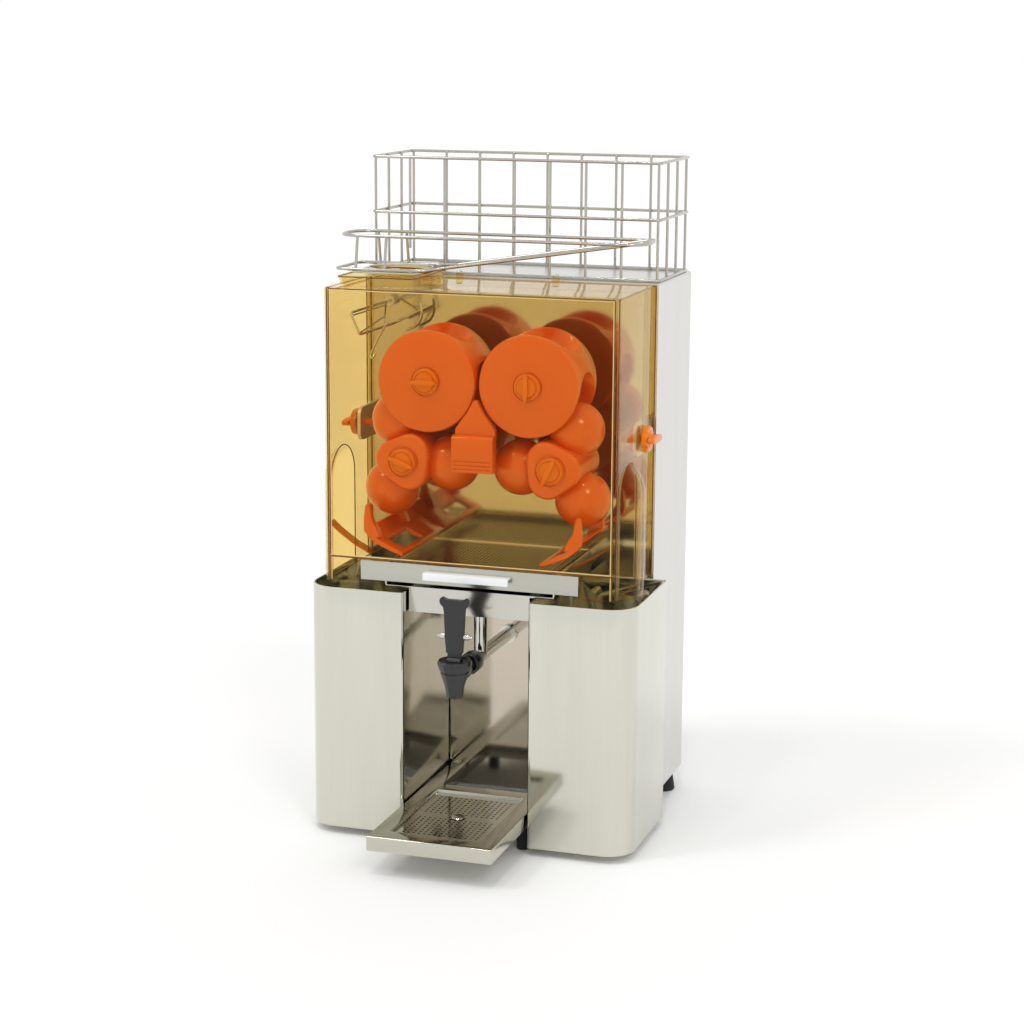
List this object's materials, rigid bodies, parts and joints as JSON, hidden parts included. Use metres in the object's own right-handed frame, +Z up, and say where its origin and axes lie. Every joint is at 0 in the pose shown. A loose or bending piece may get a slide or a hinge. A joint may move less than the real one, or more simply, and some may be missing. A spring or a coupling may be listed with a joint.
{
  "type": "automatic orange juicer",
  "caption": "Countertop juicer: wire basket and track feed oranges to geared squeezing drums behind an amber cover, above a juice tap, drip tray and peel bins.",
  "frame": {"origin": "centre of the footprint, on the counter the feet stand on", "axes": "+X to the viewer's right, +Y from the tap towards the back, +Z up"},
  "size_m": [0.4, 0.464, 0.8],
  "materials": {
    "brushed_steel": "satin brushed stainless sheet",
    "polished_steel": "mirror polished stainless",
    "steel_wire": "polished stainless wire",
    "orange_plastic": "moulded food grade plastic",
    "knob_orange": "moulded plastic",
    "amber_clear": "clear amber tinted polycarbonate",
    "black_plastic": "moulded plastic",
    "black_rubber": "soft rubber",
    "cast_metal": "cast and painted",
    "machined_steel": "machined",
    "grey_plastic": "moulded plastic",
    "clear_plastic": "translucent plastic strip"
  },
  "bodies": {
    "machine": {"casing_shell": "brushed_steel", "rear_cover": "brushed_steel", "bulkhead": "polished_steel", "foot_front_left": "black_rubber", "foot_front_right": "black_rubber", "foot_rear_left": "black_rubber", "foot_rear_right": "black_rubber", "cable_gland": "black_plastic", "switch_frame": "black_plastic", "bearing_carrier": "cast_metal", "gear_plate": "cast_metal", "gearbox": "cast_metal", "motor": "cast_metal", "control_box": "grey_plastic", "knife_block": "orange_plastic", "knife_blade": "machined_steel", "peel_fork_left": "orange_plastic", "peel_fork_right": "orange_plastic", "feed_ring": "brushed_steel", "feed_rails": "steel_wire", "orange_basket": "steel_wire", "juice_housing": "polished_steel", "juice_pipe": "polished_steel", "tap_body": "black_plastic", "tap_nut": "black_plastic"},
    "cover": {"front_cover": "amber_clear", "deflector_left": "amber_clear", "deflector_right": "amber_clear"},
    "clamp_left": {"clamp_knob_left": "knob_orange"},
    "clamp_right": {"clamp_knob_right": "knob_orange"},
    "upper_left": {"upper_left_drum": "orange_plastic", "upper_left_shaft": "machined_steel", "upper_left_gear": "machined_steel"},
    "upper_left_lock": {"upper_left_lock_knob": "knob_orange"},
    "upper_right": {"upper_right_drum": "orange_plastic", "upper_right_shaft": "machined_steel", "upper_right_gear": "machined_steel"},
    "upper_right_lock": {"upper_right_lock_knob": "knob_orange"},
    "lower_left": {"lower_left_drum": "orange_plastic", "lower_left_shaft": "machined_steel", "lower_left_gear": "machined_steel"},
    "lower_left_lock": {"lower_left_lock_knob": "knob_orange"},
    "lower_right": {"lower_right_drum": "orange_plastic", "lower_right_shaft": "machined_steel", "lower_right_gear": "machined_steel"},
    "lower_right_lock": {"lower_right_lock_knob": "knob_orange"},
    "pinion": {"drive_pinion": "machined_steel"},
    "idler": {"idler_gear": "machined_steel"},
    "drawer": {"juice_drawer": "brushed_steel", "drawer_pull": "clear_plastic", "pulp_filter": "polished_steel"},
    "bin_left": {"peel_bin_left": "brushed_steel"},
    "bin_right": {"peel_bin_right": "brushed_steel"},
    "lever": {"tap_lever": "black_plastic"},
    "tray": {"drip_tray": "brushed_steel", "tray_foot_left": "black_rubber", "tray_foot_right": "black_rubber"},
    "grid": {"drip_grid": "brushed_steel"},
    "gate": {"feed_gate": "steel_wire"},
    "switch": {"switch_key": "black_rubber"}
  },
  "joints": [
    {"name": "cover_slide", "type": "slide", "parent": "machine", "child": "cover", "axis": [0, -1, 0], "range_m": [0, 0.2]},
    {"name": "clamp_left_turn", "type": "hinge", "parent": "machine", "child": "clamp_left", "pos_m": [-0.187, 0.02, 0.482], "axis": [1, 0, 0], "range_deg": [0, 180]},
    {"name": "clamp_right_turn", "type": "hinge", "parent": "machine", "child": "clamp_right", "pos_m": [0.187, 0.02, 0.482], "axis": [1, 0, 0], "range_deg": [0, 180]},
    {"name": "upper_left_spin", "type": "hinge", "parent": "machine", "child": "upper_left", "pos_m": [-0.062, 0, 0.549], "axis": [0, 1, 0], "continuous": true},
    {"name": "upper_right_spin", "type": "hinge", "parent": "machine", "child": "upper_right", "pos_m": [0.062, 0, 0.549], "axis": [0, 1, 0], "continuous": true},
    {"name": "lower_left_spin", "type": "hinge", "parent": "machine", "child": "lower_left", "pos_m": [-0.09, 0, 0.453], "axis": [0, 1, 0], "continuous": true},
    {"name": "lower_right_spin", "type": "hinge", "parent": "machine", "child": "lower_right", "pos_m": [0.09, 0, 0.453], "axis": [0, 1, 0], "continuous": true},
    {"name": "upper_left_lock_turn", "type": "hinge", "parent": "upper_left", "child": "upper_left_lock", "pos_m": [-0.062, -0.074, 0.549], "axis": [0, 1, 0], "range_deg": [0, 90]},
    {"name": "upper_right_lock_turn", "type": "hinge", "parent": "upper_right", "child": "upper_right_lock", "pos_m": [0.062, -0.074, 0.549], "axis": [0, 1, 0], "range_deg": [0, 90]},
    {"name": "lower_left_lock_turn", "type": "hinge", "parent": "lower_left", "child": "lower_left_lock", "pos_m": [-0.09, -0.074, 0.453], "axis": [0, 1, 0], "range_deg": [0, 90]},
    {"name": "lower_right_lock_turn", "type": "hinge", "parent": "lower_right", "child": "lower_right_lock", "pos_m": [0.09, -0.074, 0.453], "axis": [0, 1, 0], "range_deg": [0, 90]},
    {"name": "pinion_spin", "type": "hinge", "parent": "machine", "child": "pinion", "pos_m": [-0.02, 0.09, 0.605], "axis": [0, 1, 0], "continuous": true},
    {"name": "idler_spin", "type": "hinge", "parent": "machine", "child": "idler", "pos_m": [0.02, 0.09, 0.605], "axis": [0, 1, 0], "continuous": true},
    {"name": "drawer_slide", "type": "slide", "parent": "machine", "child": "drawer", "axis": [0, -1, 0], "range_m": [0, 0.14]},
    {"name": "bin_left_slide", "type": "slide", "parent": "machine", "child": "bin_left", "axis": [0, -1, 0], "range_m": [0, 0.16]},
    {"name": "bin_right_slide", "type": "slide", "parent": "machine", "child": "bin_right", "axis": [0, -1, 0], "range_m": [0, 0.16]},
    {"name": "tap_lever_pull", "type": "hinge", "parent": "machine", "child": "lever", "pos_m": [0, -0.141, 0.238], "axis": [1, 0, 0], "range_deg": [0, 35], "stiffness_Nm_per_rad": 0.2},
    {"name": "tray_slide", "type": "slide", "parent": "machine", "child": "tray", "axis": [0, -1, 0], "range_m": [0, 0.12]},
    {"name": "grid_lift", "type": "slide", "parent": "tray", "child": "grid", "axis": [0, 0, 1], "range_m": [0, 0.06]},
    {"name": "gate_swing", "type": "hinge", "parent": "machine", "child": "gate", "pos_m": [-0.15, 0, 0.627], "axis": [0, 1, 0], "range_deg": [-25, 0]},
    {"name": "switch_rock", "type": "hinge", "parent": "machine", "child": "switch", "pos_m": [0.06, 0.22, 0.06], "axis": [1, 0, 0], "range_deg": [0, 12]}
  ],
  "couplings": [
    {"joint": "upper_right_spin", "follows": "upper_left_spin", "ratio": -1},
    {"joint": "lower_left_spin", "follows": "upper_left_spin", "ratio": -1},
    {"joint": "lower_right_spin", "follows": "upper_left_spin", "ratio": 1},
    {"joint": "pinion_spin", "follows": "upper_left_spin", "ratio": -2.5},
    {"joint": "idler_spin", "follows": "upper_left_spin", "ratio": 2.5}
  ]
}
